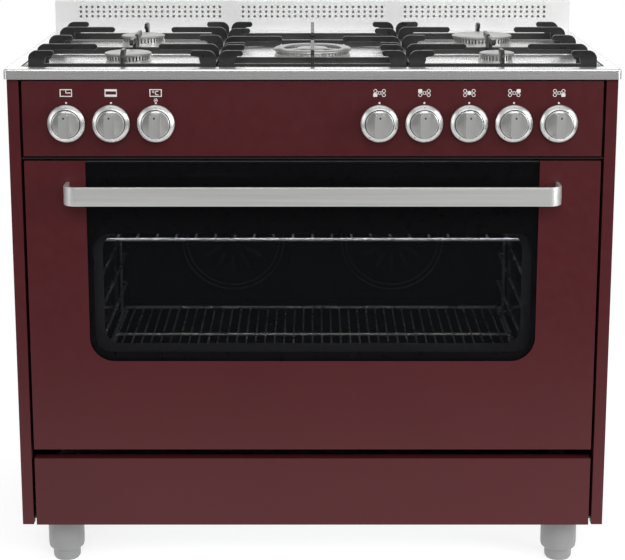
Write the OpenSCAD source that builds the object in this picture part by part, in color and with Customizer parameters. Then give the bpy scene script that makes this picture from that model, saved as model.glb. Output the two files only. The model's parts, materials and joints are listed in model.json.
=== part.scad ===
// Freestanding range, one metre wide: a gas hob with five burners over an electric oven with a
// drop-down door, a drawer below it, and four levelling feet. Millimetres, +Z up, the front faces -Y.
// The origin is on the floor, under the middle of the overall box.

/* [Overall] */
// Width of the hob
body_w = 1000; // [950:1:1200]
// Depth of the hob, front edge to wall
body_d = 600; // [580:1:720]
// Height of the hob surface above the floor
hob_h = 870; // [845:1:1040]
// Height of the splashback above the hob
splash_h = 58; // [45:1:90]
// Depth of the splashback box
splash_d = 25; // [18:1:40]
// Thickness of the folded steel sheet
sheet = 1.2; // [0.8:0.1:1.6]

/* [Front] */
// Height of the hob's turned-down lip
lip_h = 17; // [14:1:22]
// Overhang of the hob beyond each side panel
lip_overhang = 4; // [3:1:6]
// Width of the side panel's front flange
side_flange = 19; // [16:1:24]
// Gap between a side flange and the front panels
front_gap = 5; // [4:1:7]
// Set-back of the front panels behind the hob's front edge
face_set = 6; // [4:1:9]
// Height of the control panel
panel_h = 124; // [110:1:140]
// Gap between the hob lip and the control panel
panel_gap = 3; // [2:1:4]
// Gap between the control panel and the door
door_gap = 8; // [7:1:11]
// Gap between the door and the drawer, where the fingers go in
pull_gap = 16; // [15:1:24]
// Height of the drawer front
drawer_h = 120; // [105:1:144]
// Height of the feet
foot_h = 85; // [70:1:110]
// Radius of a foot
foot_r = 31; // [26:1:34]

/* [Controls] */
// Distance of the outer knob from the end of the control panel
knob_margin = 72; // [66:1:90]
// Distance between neighbouring knobs
knob_pitch = 72.8; // [66:0.1:76]
// Distance of the knobs below the panel's upper edge
knob_drop = 69; // [60:1:80]
// Radius of a knob's skirt
knob_r = 31; // [27:1:32]
// Length of a knob, from the back of its skirt to the front of its grip
knob_len = 34; // [28:1:38]
// Radius of a control shaft
shaft_r = 4; // [3:0.5:5]
// Push-in travel of the gas knobs
push_travel = 4.5; // [3:0.5:5]

/* [Door] */
// Thickness of the door
door_t = 36; // [33:1:42]
// Distance from the door's side to the dark glass
window_margin = 100; // [95:1:120]
// Distance from the door's bottom to the dark glass
window_sill = 156; // [140:1:187]
// Corner radius of the dark glass
window_r = 41; // [30:1:50]
// Border between the dark glass and the clear window, at the sides
clear_border = 21; // [16:1:26]
// Height of the clear window
clear_h = 190; // [160:1:210]
// Thickness of the door glasses
glass_t = 4; // [3:0.5:5]
// Height of the handle strap
handle_h = 31; // [26:1:36]
// Thickness of the handle strap
handle_t = 6; // [5:0.5:8]
// Distance of the handle's front from the door
handle_reach = 50; // [44:1:60]
// Distance of the handle's end from the door's side
handle_margin = 67.5; // [60:0.5:75]
// Distance of the handle's middle from the door's top
handle_drop = 50; // [44:1:60]

/* [Oven] */
// Distance from the door's side to the cavity's side wall
cavity_margin = 100; // [95:1:120]
// Distance from the door's bottom to the cavity's floor
cavity_sill = 51; // [45:1:60]
// Distance from the door's top to the cavity's ceiling
cavity_head = 56; // [50:1:68]
// Distance from the cavity's rear wall to the wall behind the range
cavity_back = 135; // [125:1:150]
// Thickness of the insulation blanket
wool_t = 24; // [18:1:26]
// Radius of a fan cover
fan_cover_r = 100; // [85:1:110]
// Distance of each fan from the middle of the oven
fan_x = 152; // [130:1:160]
// Radius of a fan wheel
fan_r = 75; // [60:1:80]
// Height of the lowest shelf rail above the cavity floor
rail_first = 75; // [24:1:80]
// Distance between shelf rails
rail_pitch = 55; // [50:1:68]

/* [Hob] */
// Depth of the hob's pressed tray
tray_depth = 9; // [7:1:10]
// Border between the hob's side and the pan supports
tray_side = 34; // [30:1:40]
// Border between the hob's front edge and the pan supports
tray_front = 44; // [40:1:50]
// Border between the pan supports and the wall
tray_back = 96; // [90:1:110]
// Gap between neighbouring pan supports
support_gap = 4; // [3:1:6]
// Width of the pan supports' bars
bar_w = 6; // [5:0.5:8]
// Height of the pan supports above the hob surface
support_rise = 25; // [22:1:30]
// Distance of the front and rear burners from the middle of the pan supports
burner_dy = 134; // [125:1:140]
// Cap radius of the two medium burners
medium_r = 40; // [34:1:42]
// Cap radius of the small burner
small_r = 29.5; // [26:0.5:32]
// Cap radius of the large burner
large_r = 55; // [48:1:56]
// Cap radius of the wok burner
wok_r = 68; // [60:1:70]

/* [Drawer] */
// Travel of the drawer
drawer_travel = 350; // [250:1:400]
// Distance of the drawer box from the end of its front
drawer_margin = 32; // [30:1:40]
// Thickness of the hollow drawer front
drawer_t = 20; // [16:1:24]

/* [Hidden] */
$fn = 48;

// Clearances
fit = 0.05;     // radial, of a shaft that turns in a hole
seat = 0.3;     // between pieces that rest on each other but move apart
loose = 1.5;    // around a piece that passes through a sheet
tiny = 0.01;    // overshoot of a cut

// Colours
enamel_red = [0.33, 0.15, 0.17];
steel = [0.80, 0.80, 0.79];
dark = [0.07, 0.07, 0.08];
cast_black = [0.12, 0.12, 0.12];
alloy = [0.82, 0.82, 0.80];
brass = [0.78, 0.63, 0.30];
galvanised = [0.62, 0.63, 0.64];

// Depths are measured back from the hob's front edge and heights from the floor
handle_out = handle_reach - face_set;
front_y = -(body_d + handle_out) / 2 + handle_out;
side_x = body_w / 2 - lip_overhang;
front_x = side_x - side_flange - front_gap;
lip_z = hob_h - lip_h;
panel_top = lip_z - panel_gap;
panel_bottom = panel_top - panel_h;
door_top = panel_bottom - door_gap;
drawer_top = foot_h + drawer_h;
door_bottom = drawer_top + pull_gap;
door_back = face_set + door_t;
gasket_t = 4;
frame_front = door_back + gasket_t;
cabinet_back = body_d - 30;

cavity_x = front_x - cavity_margin;
cavity_floor = door_bottom + cavity_sill;
cavity_top = door_top - cavity_head;
cavity_front = frame_front + sheet;
cavity_rear = body_d - cavity_back;
fan_z = (cavity_floor + cavity_top) / 2 + 16;
element_r = 4;
element_room = 12;

knob_z = panel_top - knob_drop;
outer_knob = front_x - knob_margin;
gas_x = [for (i = [4:-1:0]) outer_knob - i * knob_pitch];
oven_x = [for (i = [0:2]) -outer_knob + i * knob_pitch];
knob_back = face_set - push_travel - 1;
valve_front = face_set + 16;
valve_back = valve_front + 32;
manifold_r = 9;

support_w = (body_w - 2 * tray_side - 2 * support_gap) / 3;
support_d = body_d - tray_front - tray_back;
support_x = support_w + support_gap;
support_mid = tray_front + support_d / 2;
tray_floor = hob_h - tray_depth;
tray_edge = 4;
support_top = hob_h + support_rise;
support_foot = tray_floor + 0.5;
bar_h = 12;
wok_mid = support_mid - 18;

// One row for each burner: x, set-back, cap radius, height of the cap's underside above the hob
burners = [
    [-support_x, support_mid - burner_dy, medium_r, 7],
    [-support_x, support_mid + burner_dy, medium_r, 7],
    [0, wok_mid, wok_r, 1],
    [support_x, support_mid + burner_dy, large_r, 7],
    [support_x, support_mid - burner_dy, small_r, 7]
];
cap_t = 5;
flange_t = 2;
cup_depth = 24;
wok_inner_r = 24;

hinge_set = face_set + door_t / 2;
hinge_z = door_bottom + 6;
hinge_x = front_x - 24;
hinge_w = 12;
pin_r = 4;
clear_x = cavity_x - clear_border;
clear_bottom = door_bottom + window_sill + clear_border;
window_x = front_x - window_margin;

foot_x = side_x - foot_r - 34;
foot_front = 72;
foot_rear = cabinet_back - 62;
gland_x = -380;
gland_z = door_bottom + 80;
inlet_x = front_x - 42;
inlet_r = 10.48;

// A block from its limits: x, set-back from the hob's front edge, height
module block(x, t, z) {
    translate([x[0], front_y + t[0], z[0]]) cube([x[1] - x[0], t[1] - t[0], z[1] - z[0]]);
}

// The children and their mirror image on the other side
module both_sides() {
    children();
    mirror([1, 0, 0]) children();
}

// A rod along Y between two set-backs
module rod_y(x, t, z, r) {
    translate([x, front_y + t[0], z]) rotate([-90, 0, 0]) cylinder(h = t[1] - t[0], r = r);
}

// A rod along X
module rod_x(x, t, z, r) {
    translate([x[0], front_y + t, z]) rotate([0, 90, 0]) cylinder(h = x[1] - x[0], r = r);
}

// A rod along Z
module rod_z(x, t, z, r) {
    translate([x, front_y + t, z[0]]) cylinder(h = z[1] - z[0], r = r);
}

// A rectangle with round corners, about its middle
module round_rect(w, h, r) {
    square([w - 2 * r, h], center = true);
    square([w, h - 2 * r], center = true);
    for (x = [-1, 1], y = [-1, 1]) translate([x * (w / 2 - r), y * (h / 2 - r)]) circle(r);
}

// An upright plate with round corners, facing the front
module front_plate(x, t, z, r) {
    translate([(x[0] + x[1]) / 2, front_y + t[1], (z[0] + z[1]) / 2]) rotate([90, 0, 0])
        linear_extrude(t[1] - t[0]) round_rect(x[1] - x[0], z[1] - z[0], r);
}

// ---- Cabinet ----

module side_panel() {
    z = [foot_h, hob_h - sheet];
    back = cabinet_back - sheet;
    color(enamel_red) union() {
        block([-side_x, -side_x + sheet], [face_set + 2, back], z);
        block([-side_x, -side_x + side_flange], [face_set + 2, face_set + 2 + sheet], [z[0], lip_z]);
        block([-side_x + side_flange - sheet, -side_x + side_flange],
              [face_set + 2, face_set + 20], [z[0], lip_z]);
        block([-side_x, -side_x + side_flange], [back - sheet, back], z);
        block([-side_x, -side_x + side_flange], [tray_front, back], [z[1] - sheet, z[1]]);
        difference() {
            block([-side_x, -side_x + 90], [face_set + 30, back], [z[0], z[0] + sheet]);
            for (t = [foot_front, foot_rear])
                rod_z(-foot_x, t, [z[0] - 1, z[0] + sheet + 1], 5 + fit);
        }
    }
}

module side_panel_left() { side_panel(); }
module side_panel_right() { mirror([1, 0, 0]) side_panel(); }

module rear_panel() {
    x = side_x - 2;
    t = [cabinet_back - sheet, cabinet_back];
    z = [foot_h + 20, lip_z - 4];
    slot_w = 70;
    color(galvanised) difference() {
        block([-x, x], t, z);
        for (i = [-4:4], j = [0:5])
            block([i * 92 - slot_w / 2, i * 92 + slot_w / 2], [t[0] - 1, t[1] + 1],
                  [door_top - 60 + j * 12, door_top - 56 + j * 12]);
        rod_y(inlet_x, [t[0] - 1, t[1] + 1], knob_z, inlet_r + loose);
        rod_y(gland_x, [t[0] - 1, t[1] + 1], gland_z, 12);
    }
}

module base_tray() {
    x = side_x - sheet - seat;
    t = [face_set + 32, cabinet_back - 2 * sheet - seat];
    z = foot_h + sheet;
    rim = 20;
    color(galvanised) difference() {
        union() {
            block([-x, x], t, [z, z + sheet]);
            block([-x, x], [t[1] - sheet, t[1]], [z, z + rim]);
            both_sides() block([-x, -x + sheet], t, [z, z + rim]);
            for (tt = [foot_front, foot_rear])
                both_sides() rod_z(foot_x, tt, [z, z + sheet + 12], 12);
        }
        for (tt = [foot_front, foot_rear])
            both_sides() rod_z(foot_x, tt, [z - 1, z + 30], 5 + fit);
    }
}

// A levelling foot: a fat upper sleeve, a narrower shoe, and a stud that goes into the base
module foot(x, t) {
    shoe = 21;
    rod_z(x, t, [shoe + 3, foot_h], foot_r);
    rod_z(x, t, [4, shoe + 3], foot_r * 0.76);
    translate([x, front_y + t, 0]) cylinder(h = 4, r1 = foot_r * 0.68, r2 = foot_r * 0.76);
    rod_z(x, t, [foot_h, foot_h + 24], 5);
}

module feet() {
    color([0.86, 0.87, 0.87]) for (t = [foot_front, foot_rear]) both_sides() foot(foot_x, t);
}

// ---- Hob ----

module tray_outline(grow) {
    translate([0, front_y + support_mid])
        round_rect(body_w - 2 * tray_side + 2 * (tray_edge + grow),
                   support_d + 2 * (tray_edge + grow), 10 + grow);
}

module hob_top() {
    half = body_w / 2;
    color(steel) difference() {
        union() {
            difference() {
                block([-half, half], [0, body_d], [lip_z, hob_h]);
                block([-half + sheet, half - sheet], [sheet, body_d - sheet], [lip_z - 1, hob_h - sheet]);
                translate([0, 0, lip_z]) linear_extrude(lip_h + 1) tray_outline(0);
            }
            translate([0, 0, tray_floor - sheet]) linear_extrude(tray_depth) difference() {
                tray_outline(sheet);
                tray_outline(0);
            }
            translate([0, 0, tray_floor - sheet]) linear_extrude(sheet) tray_outline(sheet / 2);
        }
        for (b = burners) rod_z(b[0], b[1], [tray_floor - 5, tray_floor + 1], b[2] - 6 + seat);
    }
}

module backsplash() {
    half = body_w / 2 - 2;
    t = [body_d - splash_d, body_d];
    z = [hob_h, hob_h + splash_h];
    hole_pitch = [11.22, 9];
    group_pitch = (body_w - 58) / 3;
    color(steel) difference() {
        block([-half, half], t, z);
        block([-half + sheet, half - sheet], [t[0] + sheet, t[1] - sheet], [z[0] - 1, z[1] - sheet]);
        for (g = [-1:1], i = [-12:12], j = [0:2])
            rod_y(g * group_pitch + i * hole_pitch[0], [t[0] - 1, t[0] + sheet + 1],
                  z[1] - 12 - j * hole_pitch[1], 2.5);
    }
}

module burner_cups() {
    color(alloy) for (b = burners) difference() {
        union() {
            rod_z(b[0], b[1], [tray_floor - cup_depth, tray_floor], b[2] - 6);
            rod_z(b[0], b[1], [tray_floor, tray_floor + flange_t], b[2] - 1);
        }
        difference() {
            rod_z(b[0], b[1], [tray_floor - cup_depth + 3, tray_floor + flange_t + 1], b[2] - 9);
            if (b[0] == 0) rod_z(0, b[1], [tray_floor - cup_depth, tray_floor + flange_t], wok_inner_r);
        }
    }
}

// A flame ring: a hollow ring with slots round its upper edge
module crown(r, z, slots) {
    wall = 7;
    difference() {
        translate([0, 0, z[0]]) cylinder(h = z[1] - z[0], r = r);
        translate([0, 0, z[0] - 1]) cylinder(h = z[1] - z[0] + 2, r = r - wall);
        for (i = [0:slots - 1]) rotate(i * 360 / slots)
            translate([r - wall - 1, -1, z[1] - 5]) cube([wall + 2, 2, 6]);
    }
}

module burner_crowns() {
    color(alloy) for (i = [0:4]) {
        b = burners[i];
        z = [tray_floor + flange_t, hob_h + b[3]];
        translate([b[0], front_y + b[1], 0]) {
            crown(b[2] - 3, z, 2 * floor(b[2] / 4));
            if (i == 2) crown(wok_inner_r, z, 12);
        }
    }
}

module cap(b) {
    z = hob_h + b[3];
    color([0.75, 0.75, 0.74]) translate([b[0], front_y + b[1], z]) {
        cylinder(h = cap_t - 2, r = b[2]);
        translate([0, 0, cap_t - 2]) cylinder(h = 2, r1 = b[2], r2 = b[2] - 4);
        translate([0, 0, -4]) difference() {
            cylinder(h = 4, r = b[2] - 10 - seat);
            translate([0, 0, -1]) cylinder(h = 6, r = b[2] - 13);
        }
    }
}

module cap_front_left() { cap(burners[0]); }
module cap_rear_left() { cap(burners[1]); }
module cap_rear_right() { cap(burners[3]); }
module cap_front_right() { cap(burners[4]); }

// The wok burner has a ring cap and a small cap inside it, joined by three spokes
module cap_wok() {
    b = burners[2];
    color([0.75, 0.75, 0.74]) translate([b[0], front_y + b[1], hob_h + b[3]]) {
        difference() {
            cylinder(h = cap_t, r = b[2]);
            translate([0, 0, -1]) cylinder(h = cap_t + 2, r = b[2] - 18);
        }
        cylinder(h = cap_t, r = wok_inner_r + 3);
        for (i = [0:2]) rotate(90 + i * 120) translate([wok_inner_r, -4, 1])
            cube([b[2] - 16 - wok_inner_r, 8, 3]);
    }
}

// A spark plug and a thermocouple beside each burner
module igniters() {
    color([0.92, 0.90, 0.86]) for (b = burners) for (a = [40, 140])
        translate([b[0], front_y + b[1], 0]) rotate(a)
            translate([b[2] + 5, 0, tray_floor]) {
                cylinder(h = 9, r = 3);
                cylinder(h = 15, r = 1.2);
            }
}

// ---- Pan supports ----

// The outline of a finger: a leg, a round shoulder, and an arm with a round end
module finger_outline(length, leg) {
    h = support_top - support_foot;
    arm = 10;
    shoulder = 14;
    fillet = 11;
    square([leg, h - shoulder]);
    translate([shoulder, h - shoulder]) circle(shoulder);
    translate([shoulder, h - arm]) square([length - shoulder - arm / 2, arm]);
    translate([length - arm / 2, h - arm / 2]) circle(arm / 2);
    translate([shoulder, h - shoulder - 1]) square([leg - shoulder, shoulder - 2]);
    translate([leg, h - arm - fillet]) difference() {
        square([fillet, fillet + 1]);
        translate([fillet, 0]) circle(fillet);
    }
}

module finger(length, leg) {
    rotate([90, 0, 0]) translate([0, 0, -bar_w / 2]) linear_extrude(bar_w)
        finger_outline(length, leg);
}

// Bars in a frame, and fingers from its sides. ears and arms are offsets from its middle.
module support_frame(bars) {
    z = [support_foot, support_foot + bar_h];
    w = support_w / 2;
    d = support_d / 2;
    for (s = [-1, 1]) {
        translate([s * (w - bar_w / 2) - bar_w / 2, -d, z[0]]) cube([bar_w, 2 * d, bar_h]);
        translate([-w, s * (d - bar_w / 2) - bar_w / 2, z[0]]) cube([2 * w, bar_w, bar_h]);
    }
    for (y = bars) translate([-w, y - bar_w / 2, z[0]]) cube([2 * w, bar_w, bar_h]);
}

module side_fingers(at, length, leg) {
    for (y = at) both_sides() translate([-support_w / 2, y, support_foot]) finger(length, leg);
}

// A finger that runs front to back from y, towards +Y or -Y
module long_finger(y, way, length, leg) {
    translate([0, y, support_foot]) rotate(90 * way) finger(length, leg);
}

module outer_support(tips) {
    d = support_d / 2;
    color(cast_black) union() {
        support_frame([0]);
        side_fingers([-d + bar_w / 2, 0, d - bar_w / 2], 42, 24);
        side_fingers([-burner_dy], support_w / 2 - tips[0], 20);
        side_fingers([burner_dy], support_w / 2 - tips[1], 20);
        long_finger(-d, 1, d - burner_dy - tips[0], 16);
        long_finger(d, -1, d - burner_dy - tips[1], 16);
        long_finger(-bar_w / 2, -1, burner_dy - tips[0] - bar_w / 2, 16);
        long_finger(bar_w / 2, 1, burner_dy - tips[1] - bar_w / 2, 16);
    }
}

tip_gap = 12;
module pan_support_left() {
    translate([-support_x, front_y + support_mid, 0])
        outer_support([medium_r + tip_gap, medium_r + tip_gap]);
}

module pan_support_right() {
    translate([support_x, front_y + support_mid, 0])
        outer_support([medium_r + tip_gap, large_r + 4]);
}

module pan_support_centre() {
    d = support_d / 2;
    wok = wok_mid - support_mid;
    reach = 53;
    bars = [wok - 125, wok + 130];
    translate([0, front_y + support_mid, 0]) color(cast_black) union() {
        support_frame(bars);
        side_fingers([-d + bar_w / 2, bars[0], bars[0] + 30, bars[1], d - bar_w / 2], 40, 22);
        side_fingers([wok], support_w / 2 - reach, 20);
        long_finger(-d, 1, d + wok - reach, 16);
        long_finger(d, -1, d - wok - reach, 16);
    }
}

// ---- Control panel and gas train ----

module control_panel() {
    z = [panel_bottom, panel_top];
    t = [face_set, face_set + sheet];
    color(enamel_red) difference() {
        union() {
            block([-front_x, front_x], t, z);
            block([-front_x, front_x], [t[0], face_set + 28], [z[0], z[0] + sheet]);
            block([-front_x, front_x], [t[0], face_set + 28], [z[1] - sheet, z[1]]);
            both_sides() block([-front_x, -front_x + sheet], [t[0], frame_front], z);
        }
        for (x = concat(gas_x, oven_x)) rod_y(x, [t[0] - 1, t[1] + 1], knob_z, shaft_r + loose);
    }
}

// A knob: a stepped skirt, a round cap and an upright grip bar, with a bore for its shaft
module knob(x) {
    skirt = 7;
    cap_r = knob_r * 0.73;
    color(steel) translate([x, front_y + knob_back, knob_z]) rotate([90, 0, 0]) difference() {
        union() {
            cylinder(h = skirt - 3, r = knob_r);
            translate([0, 0, skirt - 3]) cylinder(h = 3, r1 = knob_r, r2 = knob_r - 2.5);
            cylinder(h = skirt + 4, r = cap_r);
            translate([0, 0, skirt]) linear_extrude(knob_len - skirt) round_rect(16, 39, 7);
        }
        translate([0, 0, -1]) cylinder(h = 19, r = shaft_r + fit);
    }
}

module knob_timer() { knob(oven_x[0]); }
module knob_function() { knob(oven_x[1]); }
module knob_thermostat() { knob(oven_x[2]); }
module knob_front_left() { knob(gas_x[0]); }
module knob_rear_left() { knob(gas_x[1]); }
module knob_wok() { knob(gas_x[2]); }
module knob_rear_right() { knob(gas_x[3]); }
module knob_front_right() { knob(gas_x[4]); }

module spindle(x) {
    color(brass) rod_y(x, [knob_back - 17, valve_back - 8], knob_z, shaft_r);
}

module spindle_front_left() { spindle(gas_x[0]); }
module spindle_rear_left() { spindle(gas_x[1]); }
module spindle_wok() { spindle(gas_x[2]); }
module spindle_rear_right() { spindle(gas_x[3]); }
module spindle_front_right() { spindle(gas_x[4]); }

// The timer, function switch and thermostat, with the shafts that their knobs turn on
module oven_switches() {
    for (x = oven_x) {
        color([0.85, 0.85, 0.80]) block([x - 24, x + 24], [face_set + sheet, valve_back],
                                        [knob_z - 28, knob_z + 20]);
        color(alloy) rod_y(x, [knob_back - 17, face_set + sheet], knob_z, shaft_r);
    }
}

valve_rise = 20;
module gas_valves() {
    color(brass) for (x = gas_x) difference() {
        union() {
            block([x - 12, x + 12], [valve_front, valve_back], [knob_z - 13, knob_z + 13]);
            rod_z(x, valve_back - 12, [knob_z, knob_z + valve_rise], 5);
        }
        rod_y(x, [valve_front - 1, valve_back - 2], knob_z, shaft_r + fit);
    }
}

manifold_set = valve_back + manifold_r;
module gas_manifold() {
    color(galvanised) {
        difference() {
            union() {
                rod_x([gas_x[0] - 20, inlet_x], manifold_set, knob_z, manifold_r);
                rod_y(inlet_x, [manifold_set, body_d - 22], knob_z, manifold_r);
                translate([inlet_x, front_y + manifold_set, knob_z]) sphere(manifold_r);
            }
            rod_x([gas_x[0] - 18, inlet_x], manifold_set, knob_z, manifold_r - 1.5);
            rod_y(inlet_x, [manifold_set, body_d], knob_z, manifold_r - 1.5);
        }
        difference() {
            rod_y(inlet_x, [cabinet_back + 1, body_d - 1], knob_z, inlet_r);
            rod_y(inlet_x, [cabinet_back, body_d], knob_z, manifold_r);
        }
    }
}

// A pipe from each valve: up, across, back, and up to its burner cup. They cross at three levels.
pipe_r = 3;
pipe_low = knob_z + valve_rise + 1 + pipe_r;
pipe_high = tray_floor - cup_depth - 11;
pipe_steps = [0, 1, 2, 0, 1];
pipe_sides = [12, -12, 0, -12, 12];
module burner_pipe(i) {
    level = pipe_low + pipe_steps[i] * (pipe_high - pipe_low) / 2;
    t = valve_back - 12;
    b = burners[i];
    x = b[0] + pipe_sides[i];
    rod_z(gas_x[i], t, [knob_z + valve_rise, level], pipe_r);
    rod_x([min(x, gas_x[i]), max(x, gas_x[i])], t, level, pipe_r);
    rod_y(x, [t, b[1]], level, pipe_r);
    rod_z(x, b[1], [level, tray_floor - cup_depth], pipe_r);
    for (p = [[gas_x[i], t], [x, t], [x, b[1]]])
        translate([p[0], front_y + p[1], level]) sphere(pipe_r);
}

module burner_pipes() {
    color(alloy) for (i = [0:4]) union() burner_pipe(i);
}

// ---- Oven ----

module oven_front_frame() {
    x = side_x - side_flange - 1;
    z = [drawer_top + 2, door_top + 4];
    t = [frame_front, frame_front + sheet];
    color(dark) difference() {
        union() {
            block([-x, x], t, z);
            block([-x, x], [face_set + 8, t[1]], [door_top + 2, door_top + 5]);
            both_sides() block([-x, -x + 9], [frame_front, frame_front + 16], [z[0], tray_floor - 2 * sheet]);
            // Hinge receivers: an arm at each side that carries the hinge pin
            both_sides() block([hinge_x - hinge_w / 2, hinge_x + hinge_w / 2],
                               [hinge_set, frame_front + 30], [hinge_z - 6, hinge_z + 6]);
            both_sides() rod_x([hinge_x - hinge_w / 2, hinge_x + hinge_w / 2], hinge_set, hinge_z, 6);
        }
        block([-cavity_x, cavity_x], [t[0] - 1, t[1] + 1], [cavity_floor, cavity_top]);
        both_sides() rod_x([hinge_x - hinge_w, hinge_x + hinge_w], hinge_set, hinge_z, pin_r + fit);
    }
}

module oven_liner() {
    color([0.16, 0.16, 0.18]) difference() {
        block([-cavity_x - sheet, cavity_x + sheet], [cavity_front, cavity_rear + sheet],
              [cavity_floor - sheet, cavity_top + sheet]);
        block([-cavity_x, cavity_x], [cavity_front - 1, cavity_rear], [cavity_floor, cavity_top]);
        both_sides() rod_y(fan_x, [cavity_rear - 1, cavity_rear + 5], fan_z, 9);
        rod_y(0, [cavity_rear - 1, cavity_rear + 5], cavity_top - 50, 16 + fit);
        both_sides() rod_y(50, [cavity_rear - 1, cavity_rear + 5], cavity_top - 22, element_r + fit);
    }
}

module oven_insulation() {
    gap = 0.4;
    x = cavity_x + sheet + gap;
    z = [cavity_floor - sheet - element_room, cavity_top + sheet + gap];
    t = [cavity_front + 2, cavity_rear + sheet + gap];
    color([0.85, 0.80, 0.55]) difference() {
        block([-x - wool_t, x + wool_t], [t[0], t[1] + wool_t], [z[0] - wool_t, z[1] + wool_t]);
        block([-x, x], [t[0] - 1, t[1]], z);
        both_sides() rod_y(fan_x, [t[1] - 1, t[1] + wool_t + 1], fan_z, 9);
        rod_y(0, [t[1] - 1, t[1] + wool_t + 1], cavity_top - 50, 18);
        both_sides() rod_y(50, [t[1] - 1, t[1] + wool_t + 1], cavity_top - 22, element_r + 1);
        both_sides() rod_y(50, [t[1] - 1, t[1] + wool_t + 1], cavity_floor - sheet - 6, element_r + 1);
    }
}

module door_gasket() {
    w = 6;
    t = [door_back + seat, frame_front];
    color([0.2, 0.2, 0.2]) difference() {
        front_plate([-cavity_x - 2 * w, cavity_x + 2 * w], t, [cavity_floor - 2 * w, cavity_top + 2 * w], 24);
        front_plate([-cavity_x - w, cavity_x + w], [t[0] - 1, t[1] + 1],
                    [cavity_floor - w, cavity_top + w], 18);
    }
}

rail_r = 2.5;
post_r = 3;
shelf_r = 3;
rail_x = cavity_x - 16;
rail_span = [cavity_front + 24, cavity_rear - 24];
function rail_z(level) = cavity_floor + rail_first + level * rail_pitch;

// Two wire ladders that the shelves slide on, hooked into the liner's side walls
module shelf_rails() {
    rise = [rail_z(0) - 12, rail_z(4) + 12];
    post_x = cavity_x - post_r - 2;
    color(steel) both_sides() union() {
        for (t = rail_span) rod_z(post_x, t, rise, post_r);
        for (i = [0:4]) {
            rod_y(rail_x, [rail_span[0] - 6, rail_span[1] + 6], rail_z(i), rail_r);
            for (t = rail_span) rod_x([rail_x, post_x], t, rail_z(i), rail_r - 0.3);
        }
        for (z = [rise[0] + 8, rise[1] - 8], t = rail_span) rod_x([post_x, cavity_x], t, z, rail_r - 0.3);
    }
}

// A wire shelf: a rim, a middle bar, and wires from front to back
module shelf(level, wires, pitch, wire_r) {
    z = rail_z(level) + rail_r + shelf_r + seat;
    x = rail_x + 4;
    t = [cavity_front + 17, cavity_rear - 30];
    color(steel) union() {
        for (tt = t) rod_x([-x, x], tt, z, shelf_r);
        rod_x([-x, x], (t[0] + t[1]) / 2, z, shelf_r);
        both_sides() rod_y(x, t, z, shelf_r);
        for (s = [-1, 1], tt = t) translate([s * x, front_y + tt, z]) sphere(shelf_r);
        for (i = [0:wires - 1]) rod_y((i - (wires - 1) / 2) * pitch, t, z, wire_r);
    }
}

module upper_shelf() { shelf(4, 21, (2 * rail_x - 52) / 20, 2); }
module lower_shelf() { shelf(0, 41, (2 * rail_x - 32) / 40, 1.5); }

module fan_covers() {
    depth = 18;
    t = [cavity_rear - depth, cavity_rear];
    color([0.2, 0.2, 0.22]) both_sides() difference() {
        rod_y(fan_x, t, fan_z, fan_cover_r);
        rod_y(fan_x, [t[0] + sheet, t[1] + 1], fan_z, fan_cover_r - sheet);
        translate([fan_x, 0, fan_z]) for (a = [0:30:330]) rotate([0, a, 0])
            translate([0, 0, -fan_z]) block([-4, 4], [t[0] - 1, t[0] + sheet + 1],
                                            [fan_z + 28, fan_z + fan_cover_r * 0.62]);
    }
}

motor_front = cavity_rear + sheet + wool_t + 6;
module fan_motors() {
    color(galvanised) both_sides() difference() {
        rod_y(fan_x, [motor_front, motor_front + 44], fan_z, 36);
        rod_y(fan_x, [motor_front - 1, motor_front + 30], fan_z, shaft_r + fit);
    }
}

module fan(x) {
    t = [cavity_rear - 14, cavity_rear - 3];
    blades = 8;
    color(alloy) union() {
        rod_y(x, [t[0], motor_front + 28], fan_z, shaft_r);
        rod_y(x, t, fan_z, 12);
        rod_y(x, [t[1] - 1.5, t[1]], fan_z, fan_r);
        for (i = [0:blades - 1]) translate([x, front_y, fan_z]) rotate([0, i * 360 / blades, 0])
            translate([10, t[0], -0.75]) cube([fan_r - 12, t[1] - t[0], 1.5]);
    }
}

module fan_left() { fan(-fan_x); }
module fan_right() { fan(fan_x); }

// A flat hairpin of heating tube: two legs from the rear and a cross tube, about the middle
module hairpin(half, t, z) {
    both_sides() rod_y(half, t, z, element_r);
    rod_x([-half, half], t[0], z, element_r);
    for (s = [-1, 1]) translate([s * half, front_y + t[0], z]) sphere(element_r);
}

module oven_elements() {
    top_z = cavity_top - 22;
    low_z = cavity_floor - sheet - 6;
    span = cavity_rear + sheet + wool_t + 8;
    color([0.3, 0.3, 0.32]) {
        // Grill: an outer loop with an inner hairpin
        union() {
            hairpin(50, [cavity_front + 120, span], top_z);
            hairpin(cavity_x - 90, [cavity_front + 70, cavity_rear - 60], top_z);
            both_sides() rod_x([50, cavity_x - 90], cavity_rear - 60, top_z, element_r);
            both_sides() translate([cavity_x - 90, front_y + cavity_rear - 60, top_z])
                sphere(element_r);
        }
        // Floor element, under the liner
        union() {
            hairpin(cavity_x - 70, [cavity_front + 60, cavity_rear - 50], low_z);
            both_sides() rod_x([50, cavity_x - 70], cavity_rear - 50, low_z, element_r);
            both_sides() rod_y(50, [cavity_rear - 50, span], low_z, element_r);
            both_sides() for (x = [50, cavity_x - 70])
                translate([x, front_y + cavity_rear - 50, low_z]) sphere(element_r);
        }
    }
}

module oven_lamp() {
    z = cavity_top - 50;
    color([0.9, 0.9, 0.8, 0.6]) {
        rod_y(0, [cavity_rear - 8, cavity_rear], z, 26);
        rod_y(0, [cavity_rear - 14, cavity_rear - 8], z, 21);
    }
    color([0.9, 0.9, 0.88]) rod_y(0, [cavity_rear, cavity_rear + 34], z, 16);
}

// ---- Door ----

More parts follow.
